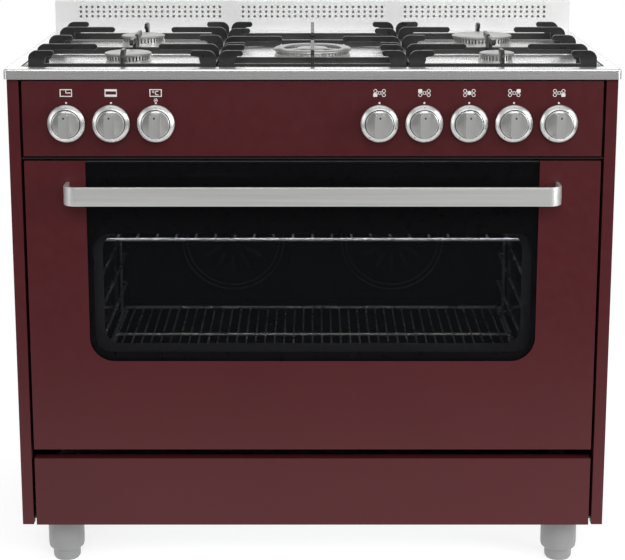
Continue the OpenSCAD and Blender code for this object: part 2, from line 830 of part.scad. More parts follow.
module door_skin() {
    x = front_x;
    z = [door_bottom, door_top];
    t = [face_set, face_set + sheet];
    back = door_back - 6;
    color(enamel_red) difference() {
        union() {
            block([-x, x], t, z);
            both_sides() block([-x, -x + sheet], [t[0], back], z);
            block([-x, x], [t[0], back], [z[0], z[0] + sheet]);
            both_sides() block([-x, -window_x], [t[0], back], [z[1] - sheet, z[1]]);
        }
        front_plate([-window_x, window_x], [t[0] - 1, t[1] + 0.5],
                    [z[0] + window_sill, z[1] + 2 * window_r], window_r);
        both_sides() block([hinge_x - 9, hinge_x + 9], [face_set + 3, door_back + 1], [z[0] - 1, z[0] + 3]);
    }
}

module door_outer_glass() {
    t = [face_set + sheet, face_set + sheet + glass_t];
    color(dark, 0.9) block([-window_x - 16, window_x + 16], t,
                           [door_bottom + window_sill - 16, door_top - sheet - 0.5]);
}

module door_inner_panel() {
    x = front_x - sheet - 0.8;
    z = [door_bottom + sheet + 0.8, door_top - sheet - 0.5];
    glass_back = face_set + sheet + glass_t + 0.5;
    color([0.35, 0.35, 0.36]) difference() {
        union() {
            block([-x, x], [door_back - sheet, door_back], z);
            both_sides() block([-x, -x + sheet], [glass_back, door_back], z);
            block([-x, x], [glass_back, door_back], [z[1] - sheet, z[1]]);
            block([-x, x], [glass_back, door_back], [z[0] + 34, z[0] + 34 + sheet]);
        }
        front_plate([-clear_x, clear_x], [door_back - 3, door_back + 1],
                    [clear_bottom, clear_bottom + clear_h], 26);
        both_sides() block([hinge_x - 9, hinge_x + 9], [glass_back, door_back + 1],
                           [z[0] - 2, hinge_z + 16]);
    }
}

module door_inner_glass() {
    t = [door_back - sheet - glass_t, door_back - sheet];
    color([0.2, 0.25, 0.25, 0.4]) block([-clear_x - 16, clear_x + 16], t,
                                        [clear_bottom - 16, clear_bottom + clear_h + 16]);
}

// A flat strap bent back to the door at both ends
module door_handle() {
    half = front_x - handle_margin;
    bend = 22;
    z = door_top - handle_drop;
    depth = handle_reach + bend;
    color(steel) translate([0, front_y + face_set, z - handle_h / 2]) linear_extrude(handle_h)
        difference() {
            translate([0, -handle_reach + depth / 2]) round_rect(2 * half, depth, bend);
            translate([0, -handle_reach + handle_t + depth / 2])
                round_rect(2 * half - 2 * handle_t, depth, bend - handle_t);
            translate([-half - 1, 0]) square([2 * half + 2, 2 * bend]);
        }
}

// A folded bracket in each lower corner of the door, with the pin that turns in the receiver
module door_hinges() {
    in = hinge_w / 2 + 0.5;
    out = 10.5;
    t = [hinge_set - 6, hinge_set + 6];
    z = [door_bottom + sheet + 0.2, hinge_z + 24];
    color(galvanised) both_sides() {
        rod_x([hinge_x - out, hinge_x + out], hinge_set, hinge_z, pin_r);
        for (s = [-1, 1]) {
            a = min(s * out, s * (out + 3));
            difference() {
                block([hinge_x + a, hinge_x + a + 3], t, z);
                rod_x([hinge_x + a - 1, hinge_x + a + 4], hinge_set, hinge_z, pin_r - tiny);
            }
        }
        block([hinge_x - out - 3, hinge_x + out + 3], t, [z[1], z[1] + 3]);
    }
}

// ---- Drawer ----

box_x = front_x - drawer_margin;
box_z = [foot_h + 30, drawer_top - 18];
box_back = face_set + 26 + drawer_travel + 50;
ledge_z = box_z[0] + 14;

// A double-skinned front: a folded pan with a plate across its back
module drawer_front() {
    t = [face_set, face_set + drawer_t];
    color(enamel_red) difference() {
        block([-front_x, front_x], t, [foot_h, drawer_top]);
        block([-front_x + sheet, front_x - sheet], [t[0] + sheet, t[1] - sheet],
              [foot_h + sheet, drawer_top - sheet]);
    }
}

module drawer_box() {
    t = [face_set + drawer_t, box_back];
    color(galvanised) union() {
        difference() {
            block([-box_x, box_x], t, box_z);
            block([-box_x + sheet, box_x - sheet], [t[0] + sheet, t[1] - sheet],
                  [box_z[0] + sheet, box_z[1] + 1]);
        }
        both_sides() block([box_x, box_x + 7], [t[0] + 24, t[1]], [ledge_z, ledge_z + sheet]);
    }
}

// An angle at each side, on the base, that the drawer's flange slides on
module drawer_rails() {
    t = [face_set + 40, box_back + 30];
    color(galvanised) both_sides() union() {
        block([box_x + 9, box_x + 9 + sheet], t, [foot_h + 2 * sheet, ledge_z + 16]);
        block([box_x + 2, box_x + 9 + sheet], t, [ledge_z - 2 * sheet, ledge_z - seat]);
        block([box_x + 2, box_x + 9 + sheet], t, [ledge_z + 14, ledge_z + 14 + sheet]);
    }
}

// ---- Rear fittings ----

module power_inlet() {
    t = [cabinet_back, cabinet_back + 26];
    color([0.15, 0.15, 0.15]) difference() {
        union() {
            block([gland_x - 40, gland_x + 40], t, [gland_z - 20, gland_z + 50]);
            rod_z(gland_x, t[0] + 13, [gland_z - 34, gland_z - 20], 11);
        }
        rod_z(gland_x, t[0] + 13, [gland_z - 35, gland_z - 10], 6.5);
    }
}

module screws() {
    x = side_x - 12;
    rows = 5;
    z = [foot_h + 50, lip_z - 40];
    color(steel) for (i = [0:rows - 1]) both_sides()
        translate([x, front_y + cabinet_back, z[0] + i * (z[1] - z[0]) / (rows - 1)])
            rotate([-90, 0, 0]) difference() {
                cylinder(h = 2.6, r = 4.2);
                translate([0, 0, 1.4]) for (a = [0, 90]) rotate(a)
                    translate([-2.4, -0.5, 0]) cube([4.8, 1, 2]);
            }
}

side_panel_left();
side_panel_right();
rear_panel();
base_tray();
feet();
hob_top();
backsplash();
control_panel();
oven_front_frame();
oven_liner();
oven_insulation();
door_gasket();
shelf_rails();
fan_covers();
fan_motors();
oven_elements();
oven_lamp();
oven_switches();
gas_manifold();
gas_valves();
burner_pipes();
burner_cups();
burner_crowns();
igniters();
power_inlet();
drawer_rails();
screws();
upper_shelf();
lower_shelf();
fan_left();
fan_right();
cap_front_left();
cap_rear_left();
cap_wok();
cap_rear_right();
cap_front_right();
pan_support_left();
pan_support_centre();
pan_support_right();
knob_timer();
knob_function();
knob_thermostat();
knob_front_left();
knob_rear_left();
knob_wok();
knob_rear_right();
knob_front_right();
spindle_front_left();
spindle_rear_left();
spindle_wok();
spindle_rear_right();
spindle_front_right();
door_skin();
door_outer_glass();
door_inner_panel();
door_inner_glass();
door_handle();
door_hinges();
drawer_front();
drawer_box();
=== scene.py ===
"""The looks of the freestanding range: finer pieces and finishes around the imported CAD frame."""

import json
from math import cos, pi, radians, sin

import bmesh
import bpy
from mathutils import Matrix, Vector
from mathutils.geometry import delaunay_2d_cdt

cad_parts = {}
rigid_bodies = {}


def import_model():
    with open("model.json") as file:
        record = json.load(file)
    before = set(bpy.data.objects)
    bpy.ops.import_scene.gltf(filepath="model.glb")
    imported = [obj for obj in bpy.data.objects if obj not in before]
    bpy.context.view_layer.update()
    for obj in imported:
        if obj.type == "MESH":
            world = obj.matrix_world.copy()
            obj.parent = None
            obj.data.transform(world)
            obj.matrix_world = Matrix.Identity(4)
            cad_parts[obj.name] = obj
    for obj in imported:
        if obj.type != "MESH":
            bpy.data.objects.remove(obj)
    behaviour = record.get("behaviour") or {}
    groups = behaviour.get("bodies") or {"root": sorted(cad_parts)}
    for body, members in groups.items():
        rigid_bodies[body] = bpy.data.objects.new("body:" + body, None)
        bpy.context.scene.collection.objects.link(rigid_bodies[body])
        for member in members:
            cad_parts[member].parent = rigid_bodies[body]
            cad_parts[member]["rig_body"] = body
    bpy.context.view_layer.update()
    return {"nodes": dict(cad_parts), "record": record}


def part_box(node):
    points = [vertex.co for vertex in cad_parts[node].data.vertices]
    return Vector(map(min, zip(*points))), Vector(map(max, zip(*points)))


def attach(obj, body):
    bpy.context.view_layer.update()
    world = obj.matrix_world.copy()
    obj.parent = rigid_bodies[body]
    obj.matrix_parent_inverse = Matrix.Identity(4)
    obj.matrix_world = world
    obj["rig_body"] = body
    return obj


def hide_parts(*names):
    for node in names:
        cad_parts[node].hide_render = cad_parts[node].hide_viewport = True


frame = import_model()
MM = 0.001
CREASE = radians(32)        # edges that bend more than this stay sharp
SEAT = 0.1 * MM             # printed marks start this far inside the panel
INK = 0.25 * MM             # and stand this far in front of it

GAS = ("front_left", "rear_left", "wok", "rear_right", "front_right")
OVEN = ("timer", "function", "thermostat")
SUPPORTS = ("pan_support_left", "pan_support_centre", "pan_support_right")

# ---------------------------------------------------------------- materials


class Finish:
    """A Principled material whose varying inputs come from textures in the piece's own space."""

    def __init__(self, name, color, rough, metal=0.0, **sockets):
        self.mat = bpy.data.materials.new(name)
        self.mat.use_nodes = True
        self.tree = self.mat.node_tree
        self.shader = self.tree.nodes["Principled BSDF"]
        self.color = color
        self.shader.inputs["Base Color"].default_value = (*color, 1)
        self.shader.inputs["Roughness"].default_value = rough
        self.shader.inputs["Metallic"].default_value = metal
        for socket, value in sockets.items():
            self.shader.inputs[socket.replace("_", " ")].default_value = value
        self.heights = []

    def node(self, kind, **values):
        made = self.tree.nodes.new(kind)
        for key, value in values.items():
            if key in made.inputs:
                made.inputs[key].default_value = value
            else:
                setattr(made, key, value)
        return made

    def link(self, a, b):
        self.tree.links.new(a, b)

    def noise(self, stretch, detail=2.0, offset=(0, 0, 0)):
        """Noise that varies stretch times in a metre, along X, Y and Z."""
        coords = self.node("ShaderNodeTexCoord")
        place = self.node("ShaderNodeMapping", Scale=stretch, Location=offset)
        texture = self.node("ShaderNodeTexNoise", Scale=1.0, Detail=detail, Roughness=0.55)
        self.link(coords.outputs["Object"], place.inputs["Vector"])
        self.link(place.outputs["Vector"], texture.inputs["Vector"])
        return texture.outputs["Fac"]

    def rings(self, plane, per_metre):
        """Noise that varies only with the distance from the piece's own axis."""
        coords = self.node("ShaderNodeTexCoord")
        flat = self.node("ShaderNodeVectorMath", operation="MULTIPLY")
        flat.inputs[1].default_value = plane
        far = self.node("ShaderNodeVectorMath", operation="LENGTH")
        texture = self.node("ShaderNodeTexNoise", noise_dimensions="1D", Detail=2.0, Scale=per_metre)
        self.link(coords.outputs["Object"], flat.inputs[0])
        self.link(flat.outputs["Vector"], far.inputs[0])
        self.link(far.outputs["Value"], texture.inputs["W"])
        return texture.outputs["Fac"]

    def cells(self, per_metre):
        coords = self.node("ShaderNodeTexCoord")
        texture = self.node("ShaderNodeTexVoronoi", Scale=per_metre)
        self.link(coords.outputs["Object"], texture.inputs["Vector"])
        return texture.outputs["Color"]

    def ramp(self, source, low, high, socket, start=0.3, end=0.7):
        """source between start and end drives socket from low to high."""
        if isinstance(low, tuple):
            mix = self.node("ShaderNodeValToRGB")
            mix.color_ramp.elements[0].position = start
            mix.color_ramp.elements[0].color = (*low, 1)
            mix.color_ramp.elements[1].position = end
            mix.color_ramp.elements[1].color = (*high, 1)
            self.link(source, mix.inputs["Fac"])
            self.link(mix.outputs["Color"], self.shader.inputs[socket])
        else:
            span = self.node("ShaderNodeMapRange")
            for key, value in (("From Min", start), ("From Max", end), ("To Min", low), ("To Max", high)):
                span.inputs[key].default_value = value
            self.link(source, span.inputs["Value"])
            self.link(span.outputs["Result"], self.shader.inputs[socket])
        return self

    def tint(self, source, change, start=0.3, end=0.7):
        low = tuple(c * (1 - change) for c in self.color)
        high = tuple(min(1.0, c * (1 + change)) for c in self.color)
        return self.ramp(source, low, high, "Base Color", start, end)

    def bump(self, source, strength, distance):
        made = self.node("ShaderNodeBump", Strength=strength, Distance=distance)
        self.link(source, made.inputs["Height"])
        if self.heights:
            self.link(self.heights[-1].outputs["Normal"], made.inputs["Normal"])
        self.heights.append(made)
        self.link(made.outputs["Normal"], self.shader.inputs["Normal"])
        return self


def powder_coat(name, color, rough):
    f = Finish(name, color, rough, Specular_IOR_Level=0.28)
    f.tint(f.noise((3, 3, 3), 3.0), 0.05)
    f.ramp(f.noise((60, 60, 60), 3.0), rough - 0.04, rough + 0.05, "Roughness")
    return f.bump(f.noise((900, 900, 900), 2.0), 0.10, 0.0002).mat


def brushed(name, color, rough, grain=(5, 420, 420), change=0.05, bump=0.12, metal=1.0):
    """Straight grain along X."""
    f = Finish(name, color, rough, metal)
    fine = f.noise(grain, 3.0)
    f.tint(fine, change)
    patches = f.noise(tuple(0.4 * g for g in grain), 3.0, (7, 3, 1))
    f.ramp(patches, rough - change, rough + change, "Roughness")
    return f.bump(fine, bump, 0.0002).mat if bump else f.mat


def turned(name, color, rough, plane, change=0.06, bump=0.15):
    """Metal with the fine rings that turning leaves about the piece's own axis."""
    f = Finish(name, color, rough, 1.0)
    rings = f.rings(plane, 900.0)
    f.tint(rings, change)
    f.ramp(f.noise((40, 40, 40), 2.0), rough - 0.04, rough + 0.06, "Roughness")
    return f.bump(rings, bump, 0.0002).mat


def cast(name, color, rough, grain, change=0.2, bump=0.35, metal=0.0):
    f = Finish(name, color, rough, metal)
    f.tint(f.noise((18, 18, 18), 4.0), change)
    f.ramp(f.noise((120, 120, 120), 3.0), rough - 0.08, rough + 0.1, "Roughness")
    return f.bump(f.noise((grain, grain, grain), 3.0), bump, 0.0004).mat


def spangled(name, color):
    """Zinc coating with its crystals."""
    f = Finish(name, color, 0.42, 0.75)
    cells = f.cells(95.0)
    f.tint(cells, 0.10, 0.2, 0.8)
    f.ramp(cells, 0.34, 0.52, "Roughness", 0.1, 0.9)
    return f.bump(f.noise((160, 160, 160)), 0.05, 0.0003).mat


def enamel(name, color, speck):
    """Glassy oven enamel with pale specks."""
    f = Finish(name, color, 0.22, 0.0, Coat_Weight=0.25, Coat_Roughness=0.08)
    f.ramp(f.noise((420, 420, 420), 1.0), color, speck, "Base Color", 0.66, 0.74)
    return f.bump(f.noise((45, 45, 45), 3.0), 0.12, 0.001).mat


def moulded(name, color, rough, grain=700, change=0.04, bump=0.08, **sockets):
    f = Finish(name, color, rough, 0.0, **sockets)
    f.tint(f.noise((9, 9, 9), 3.0), change)
    f.ramp(f.noise((80, 80, 80), 3.0), rough - 0.05, rough + 0.07, "Roughness")
    return f.bump(f.noise((grain, grain, grain)), bump, 0.0002).mat


def pane(name, color, alpha):
    """Flat glass that shows what is behind it by its alpha, with faint marks from wiping."""
    f = Finish(name, color, 0.03, 0.0, Alpha=alpha, Specular_IOR_Level=0.10)
    f.ramp(f.noise((6, 14, 14), 3.0), 0.02, 0.06, "Roughness")
    return f.bump(f.noise((2.5, 2.5, 2.5), 1.0), 0.04, 0.002).mat


red = powder_coat("enamel_red", (0.074, 0.0105, 0.0135), 0.38)
steel = brushed("brushed_steel", (0.86, 0.86, 0.85), 0.40, (4, 300, 300), 0.04, 0.05, 0.8)
hob_steel = brushed("hob_steel", (0.87, 0.87, 0.865), 0.27, (10, 1100, 1100), 0.02, 0, 0.85)
splash_steel = brushed("splash_steel", (0.88, 0.88, 0.88), 0.45, (8, 900, 900), 0.02, 0, 0.3)
galvanised = spangled("galvanised", (0.50, 0.51, 0.52))
cast_black = cast("cast_black", (0.010, 0.010, 0.011), 0.34, 700)
alloy = cast("alloy", (0.66, 0.66, 0.65), 0.38, 500, 0.10, 0.2, 1.0)
cap_finish = turned("cap_metal", (0.40, 0.40, 0.395), 0.42, (1, 1, 0))
brass = cast("brass", (0.58, 0.40, 0.14), 0.30, 260, 0.12, 0.1, 1.0)
oven_enamel = enamel("oven_enamel", (0.006, 0.006, 0.007), (0.10, 0.10, 0.11))
frame_black = moulded("frame_black", (0.012, 0.010, 0.010), 0.5)
glass_black = pane("glass_black", (0.004, 0.004, 0.005), 0.36)
glass_clear = pane("glass_clear", (0.05, 0.06, 0.06), 0.12)
frit = moulded("frit", (0.004, 0.004, 0.005), 0.30, 900, 0.2, 0.03)
door_lining = enamel("door_lining", (0.13, 0.13, 0.14), (0.30, 0.30, 0.31))
wool = cast("wool", (0.62, 0.52, 0.22), 0.9, 900, 0.25, 0.9)
seal = moulded("seal", (0.02, 0.02, 0.02), 0.62, 500, 0.15, 0.15)
chrome = brushed("chrome", (0.82, 0.82, 0.82), 0.28, (40, 40, 40), 0.05, 0.05, 0.7)
element = cast("element", (0.10, 0.095, 0.09), 0.5, 500, 0.3, 0.2, 0.8)
lamp_glass = pane("lamp_glass", (0.75, 0.75, 0.68), 0.55)
ceramic = moulded("ceramic", (0.78, 0.76, 0.70), 0.25, 300, 0.05, 0.05)
switch_body = moulded("switch_body", (0.62, 0.60, 0.50), 0.5)
black_plastic = moulded("black_plastic", (0.018, 0.018, 0.019), 0.45)
foot_plastic = moulded("foot_plastic", (0.27, 0.272, 0.275), 0.42, 500, 0.03, 0.06)
knob_metal = turned("knob_metal", (0.78, 0.78, 0.77), 0.34, (1, 0, 1), 0.04, 0.06)
grip_metal = brushed("grip_metal", (0.80, 0.80, 0.79), 0.36, (420, 420, 8), 0.03, 0.04, 0.9)
# Dark print on the knobs; the same dark also paints the shade in each knob's groove as a ring.
print_and_groove_shade = moulded("print_and_groove_shade", (0.03, 0.03, 0.03), 0.5)
mark_white = moulded("mark_white", (0.82, 0.80, 0.78), 0.45, 900, 0.03, 0.03)

# ---------------------------------------------------------------- mesh tools

UP = (Vector((1, 0, 0)), Vector((0, 1, 0)), Vector((0, 0, 1)))        # drawn from above
FRONT = (Vector((1, 0, 0)), Vector((0, 0, 1)), Vector((0, -1, 0)))    # drawn from the front


def round_outline(w, h, r):
    """Points of a rectangle with round corners, about its middle, counter-clockwise."""
    steps = 6
    points = []
    for i, (sx, sy) in enumerate(((1, 1), (-1, 1), (-1, -1), (1, -1))):
        for k in range(steps + 1):
            a = (i + k / steps) * pi / 2
            points.append((sx * (w / 2 - r) + r * cos(a), sy * (h / 2 - r) + r * sin(a)))
    return points


class Piece:
    """A mesh made of closed shells. at is the point that becomes the object's own origin."""

    def __init__(self, at=(0, 0, 0)):
        self.at = Vector(at)
        self.bm = bmesh.new()

    def rows(self, rows, start=True, end=True):
        """Skins closed rings of points, each with as many points as the next or with one."""
        made = [[self.bm.verts.new(p) for p in row] for row in rows]
        for a, b in zip(made, made[1:]):
            n = max(len(a), len(b))
            for i in range(n):
                j = (i + 1) % n
                corners = [a[i % len(a)], a[j % len(a)], b[j % len(b)], b[i % len(b)]]
                self.bm.faces.new(list(dict.fromkeys(corners)))
        if start and len(made[0]) > 2:
            self.bm.faces.new(made[0][::-1])
        if end and len(made[-1]) > 2:
            self.bm.faces.new(made[-1])
        return made

    def lathe(self, centre, axes, profile, segments=64, closed=False):
        """Turns (radius, height) points about the third axis. closed makes a ring of the profile."""
        u, v, w = axes
        rows = []
        for r, h in profile:
            turns = [2 * pi * k / segments for k in range(segments)] if r > 0 else [0.0]
            rows.append([Vector(centre) + w * h + (u * cos(a) + v * sin(a)) * r for a in turns])
        if not closed:
            self.rows(rows)
            return self
        made = self.rows(rows + rows[:1], start=False, end=False)
        bmesh.ops.remove_doubles(self.bm, verts=made[0] + made[-1], dist=1e-6)
        return self

    def prism(self, centre, axes, outline, low, high, edge=0.0, start_edge=True):
        """Raises an outline between two heights along the third axis, with rounded rims."""
        u, v, w = axes
        spot = [Vector(centre) + u * a + v * b for a, b in outline]
        made = self.rows([[p + w * low for p in spot], [p + w * high for p in spot]])
        if edge:
            rims = made if start_edge else made[1:]
            wanted = [self.bm.edges.get((ring[i - 1], ring[i])) for ring in rims for i in range(len(ring))]
            bmesh.ops.bevel(self.bm, geom=wanted, offset=edge, segments=2, profile=0.5, affect="EDGES")
        return self

    def block(self, low, high):
        corner = [Vector((x, y, z)) for z in (low[2], high[2]) for x, y in (
            (low[0], low[1]), (high[0], low[1]), (high[0], high[1]), (low[0], high[1]))]
        self.rows([corner[:4], corner[4:]])

    def done(self, name, body, material, slot, nodes=(), thickness=0.0, sharp=()):
        """Makes the object, rides it on its body and lets it stand for its CAD nodes.
        thickness turns an open sheet into a plate, and sharp edges stay sharp at any angle."""
        bm = self.bm
        bmesh.ops.translate(bm, verts=bm.verts, vec=-self.at)
        bmesh.ops.recalc_face_normals(bm, faces=bm.faces)
        for face in bm.faces:
            face.smooth = True
        for edge in bm.edges:
            soft = edge.is_manifold and edge.calc_face_angle() < CREASE
            edge.smooth = soft and edge not in sharp
        mesh = bpy.data.meshes.new(name)
        bm.to_mesh(mesh)
        bm.free()
        piece = bpy.data.objects.new(name, mesh)
        bpy.context.scene.collection.objects.link(piece)
        piece.location = self.at
        mesh.materials.append(material)
        if thickness:
            shell = piece.modifiers.new("thickness", "SOLIDIFY")
            shell.thickness = thickness
            shell.offset = -1
        weighted = piece.modifiers.new("normals", "WEIGHTED_NORMAL")
        weighted.keep_sharp = True
        weighted.weight = 80
        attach(piece, body)
        if nodes:
            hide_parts(*nodes)


def soften(node, width, material, shortest=0.0):
    """A copy of a CAD node with its outer edges rounded, which stands for the node."""
    source = frame["nodes"][node]
    piece = Piece()
    bm = piece.bm
    bm.from_mesh(source.data)
    bmesh.ops.remove_doubles(bm, verts=bm.verts, dist=2e-5)
    bmesh.ops.dissolve_limit(bm, angle_limit=radians(0.6), verts=bm.verts, edges=bm.edges)
    bmesh.ops.recalc_face_normals(bm, faces=bm.faces)
    wanted = [e for e in bm.edges if e.is_manifold and e.is_convex
              and e.calc_face_angle() > radians(35) and e.calc_length() >= shortest]
    bmesh.ops.bevel(bm, geom=wanted, offset=width, segments=2, profile=0.5, affect="EDGES",
                    clamp_overlap=False)
    slot = next(s["material_slot"] for s in frame["record"]["subparts"] if s["node"] == node)
    piece.done(node + "_soft", source["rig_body"], material, slot, [node])


def paint(material, *nodes):
    """A CAD node keeps its shape and takes a finer material."""
    for node in nodes:
        slots = frame["nodes"][node].material_slots
        if not slots:
            frame["nodes"][node].data.materials.append(material)
        for s in slots:
            s.material = material


def middle(node):
    low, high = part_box(node)
    return (low + high) / 2


# ---------------------------------------------------------------- hob

hob_low, hob_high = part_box("hob_top")
hob_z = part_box("backsplash")[0].z
cup_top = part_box("burner_cups")[1].z
tray_z = cup_top - 2 * MM
support_low, support_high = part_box(SUPPORTS[0])[0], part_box(SUPPORTS[2])[1]
burners = [(middle("cap_" + n), (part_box("cap_" + n)[1].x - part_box("cap_" + n)[0].x) / 2) for n in GAS]

# The tray's floor is five shallow pyramids, one under each burner, pressed into the sheet
PLATE = 1.1 * MM
PYRAMID = 1.3 * MM
SINK = 1.0 * MM
split_y = middle(SUPPORTS[0]).y
splits_x = [(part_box(SUPPORTS[i])[1].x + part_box(SUPPORTS[i + 1])[0].x) / 2 for i in (0, 1)]
tray_low = Vector((support_low.x - 4 * MM, support_low.y - 4 * MM))
tray_high = Vector((support_high.x + 4 * MM, support_high.y + 4 * MM))


def tray_cells():
    """The limits of each pyramid and its peak."""
    xs = [tray_low.x, splits_x[0], splits_x[1], tray_high.x]
    for i in (0, 2):
        for y0, y1 in ((tray_low.y, split_y), (split_y, tray_high.y)):
            peak = min((b for b, r in burners), key=lambda b: abs(b.x - (xs[i] + xs[i + 1]) / 2)
                       + abs(b.y - (y0 + y1) / 2))
            yield (xs[i], xs[i + 1], y0, y1), peak
    yield (xs[1], xs[2], tray_low.y, tray_high.y), burners[2][0]


def tray_height(x, y):
    for (x0, x1, y0, y1), peak in tray_cells():
        if x0 - 1e-6 <= x <= x1 + 1e-6 and y0 - 1e-6 <= y <= y1 + 1e-6:
            dx = (x - peak.x) / ((x1 if x > peak.x else x0) - peak.x)
            dy = (y - peak.y) / ((y1 if y > peak.y else y0) - peak.y)
            return tray_z - SINK + PYRAMID * 2 * (1 - max(dx, dy))
    return tray_z - SINK


def hob():
    piece = Piece()
    w, d = hob_high.x - hob_low.x, hob_high.y - hob_low.y
    mid = Vector(((hob_low.x + hob_high.x) / 2, (hob_low.y + hob_high.y) / 2, 0))
    tray_mid = Vector(((tray_low.x + tray_high.x) / 2, (tray_low.y + tray_high.y) / 2, 0))
    tw, td = tray_high.x - tray_low.x, tray_high.y - tray_low.y
    bend, steps = 3.2 * MM, 5
    lip_corner, tray_corner = 7 * MM, 12 * MM
    rings = []
    # the lip and its bend, from the bottom up
    for inset, z in [(0, hob_low.z), (0, hob_z - bend)] + [
            (bend * (1 - cos(a)), hob_z - bend + bend * sin(a))
            for a in (pi / 2 * k / steps for k in range(1, steps + 1))]:
        outline = round_outline(w - 2 * inset, d - 2 * inset, lip_corner - inset * 0.5)
        rings.append([mid + Vector((x, y, z)) for x, y in outline])
    # the edge of the tray: a soft shoulder, a sloping wall and a soft foot
    for grow, drop in ((13, 0), (11, 0.25), (9.4, 1.1), (3.6, 7.6), (2.0, 8.9), (0, 9.6)):
        g = grow * MM
        outline = round_outline(tw + 2 * g, td + 2 * g, tray_corner + g)
        rings.append([tray_mid + Vector((x, y, hob_z - drop * MM)) for x, y in outline])
    for i, (x, y, z) in enumerate(rings[-1]):
        rings[-1][i] = Vector((x, y, tray_height(x, y)))
    made = piece.rows(rings, start=False, end=False)
    # the floor, with its creases
    rim = made[-1]
    points = [v.co.xy for v in rim]
    lines = [(i, (i + 1) % len(rim)) for i in range(len(rim))]
    for (x0, x1, y0, y1), peak in tray_cells():
        top = len(points)
        points.append(Vector((peak.x, peak.y)))
        for x in (x0, x1):
            for y in (y0, y1):
                points.append(Vector((x, y)))
                lines.append((top, len(points) - 1))
        n = len(points)
        lines += [(n - 4, n - 3), (n - 3, n - 1), (n - 1, n - 2), (n - 2, n - 4)]
    spots, _, faces, origins, _, _ = delaunay_2d_cdt(points, lines, [list(range(len(rim)))], 1, 1e-6)
    verts = []
    for spot, origin in zip(spots, origins):
        on_rim = next((i for i in origin if i < len(rim)), None)
        verts.append(rim[on_rim] if on_rim is not None
                     else piece.bm.verts.new((spot.x, spot.y, tray_height(spot.x, spot.y))))
    creases = set()
    for face in faces:
        corners = [verts[i] for i in face]
        if len(set(corners)) > 2 and not piece.bm.faces.get(corners):
            creases.update(piece.bm.faces.new(corners).edges)
    creases -= {piece.bm.edges.get((rim[i - 1], rim[i])) for i in range(len(rim))}
    loose = [v for v in piece.bm.verts if not v.link_faces]
    bmesh.ops.delete(piece.bm, geom=loose, context="VERTS")
    piece.done("hob_plate", "cabinet", hob_steel, "hob_steel", ["hob_top"], thickness=PLATE, sharp=creases)


def crown(piece, centre, radius, low, high, teeth):
    """A flame ring with open slots under the cap."""
    gate = low + (high - low) * 0.42
    wall = 6 * MM
    at = Vector((centre.x, centre.y, 0))
    piece.lathe(at, UP, [
        (radius - wall, low), (radius + 0.8 * MM, low), (radius + 0.8 * MM, low + 1.2 * MM),
        (radius, low + 2.4 * MM), (radius, gate - 0.5 * MM), (radius - 0.6 * MM, gate),
        (radius - wall, gate)], 96, closed=True)
    for i in range(teeth):
        a = 2 * pi * i / teeth
        u = Vector((cos(a), sin(a), 0))
        v = Vector((-sin(a), cos(a), 0))
        half = pi * radius / teeth * 0.56
        outline = [(radius - wall + 1 * MM, -half * 0.8), (radius - 0.4 * MM, -half),
                   (radius - 0.4 * MM, half), (radius - wall + 1 * MM, half * 0.8)]
        piece.prism(at, (u, v, Vector((0, 0, 1))), outline, gate - 0.6 * MM, high)


def burner_tops():
    crowns = Piece()
    for (centre, radius), name in zip(burners, GAS):
        low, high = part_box("cap_" + name)
        under = high.z - 5 * MM
        crown(crowns, centre, radius - 3 * MM, cup_top, under, round(2 * pi * radius / (6.6 * MM)))
        cap = Piece((centre.x, centre.y, high.z))
        at = Vector((centre.x, centre.y, under))
        if name == "wok":
            crown(crowns, centre, 24 * MM, cup_top, under, 24)
            inner = radius - 18 * MM
            cap.lathe(at, UP, ring_profile(inner, radius, 5 * MM), 96, closed=True)
            cap.lathe(at, UP, [(0, 0.2 * MM), (26 * MM, 0.2 * MM), (27 * MM, 1.4 * MM), (26.6 * MM, 3 * MM),
                               (24.5 * MM, 4.3 * MM), (12 * MM, 5 * MM), (0, 5 * MM)], 72)
            for k in range(3):
                a = pi / 2 + k * 2 * pi / 3
                u, v = Vector((cos(a), sin(a), 0)), Vector((-sin(a), cos(a), 0))
                cap.prism(at, (u, v, Vector((0, 0, 1))),
                          [(25 * MM, -4 * MM), (52 * MM, -4 * MM), (52 * MM, 4 * MM), (25 * MM, 4 * MM)],
                          1 * MM, 4 * MM, 0.6 * MM)
        else:
            r = radius
            cap.lathe(at, UP, [(0, -3.6 * MM), (r - 13 * MM, -3.6 * MM), (r - 10.6 * MM, -3.4 * MM),
                               (r - 10.4 * MM, 0), (r - 0.9 * MM, 0.1 * MM), (r - 0.1 * MM, 0.9 * MM),
                               (r, 2.1 * MM), (r - 0.8 * MM, 3.3 * MM), (r - 3.2 * MM, 4.2 * MM),
                               (r - 9 * MM, 4.8 * MM), (r * 0.5, 5 * MM), (0, 5 * MM)], 96)
        cap.done("burner_cap_" + name, "cap_" + name, cap_finish, "cap_enamel", ["cap_" + name])
    crowns.done("flame_rings", "cabinet", alloy, "alloy", ["burner_crowns"])


def ring_profile(inner, outer, height):
    """The closed section of a ring cap."""
    h = height
    return [(inner, 0.4 * MM), (outer - 1 * MM, 0), (outer, 1.2 * MM), (outer - 0.5 * MM, h * 0.62),
            (outer - 3 * MM, h * 0.92), (outer - 6 * MM, h), (inner + 4 * MM, h), (inner + 1 * MM, h * 0.8),
            (inner, h * 0.5)]


def igniters():
    plugs = Piece()
    for centre, radius in burners:
        for a in (radians(40), radians(140)):
            far = radius + 5 * MM
            spot = Vector((centre.x + far * cos(a), centre.y + far * sin(a), tray_z))
            plugs.lathe(spot, UP, [
                (0, 0), (3 * MM, 0), (3 * MM, 2 * MM), (2.4 * MM, 2.6 * MM), (2.4 * MM, 6 * MM),
                (2.9 * MM, 6.8 * MM), (2.6 * MM, 8.6 * MM), (1.1 * MM, 9.2 * MM),
                (1.1 * MM, 13.8 * MM), (0.6 * MM, 14.8 * MM), (0, 14.9 * MM)], 20)
    plugs.done("igniter_plugs", "cabinet", ceramic, "ceramic", ["igniters"])


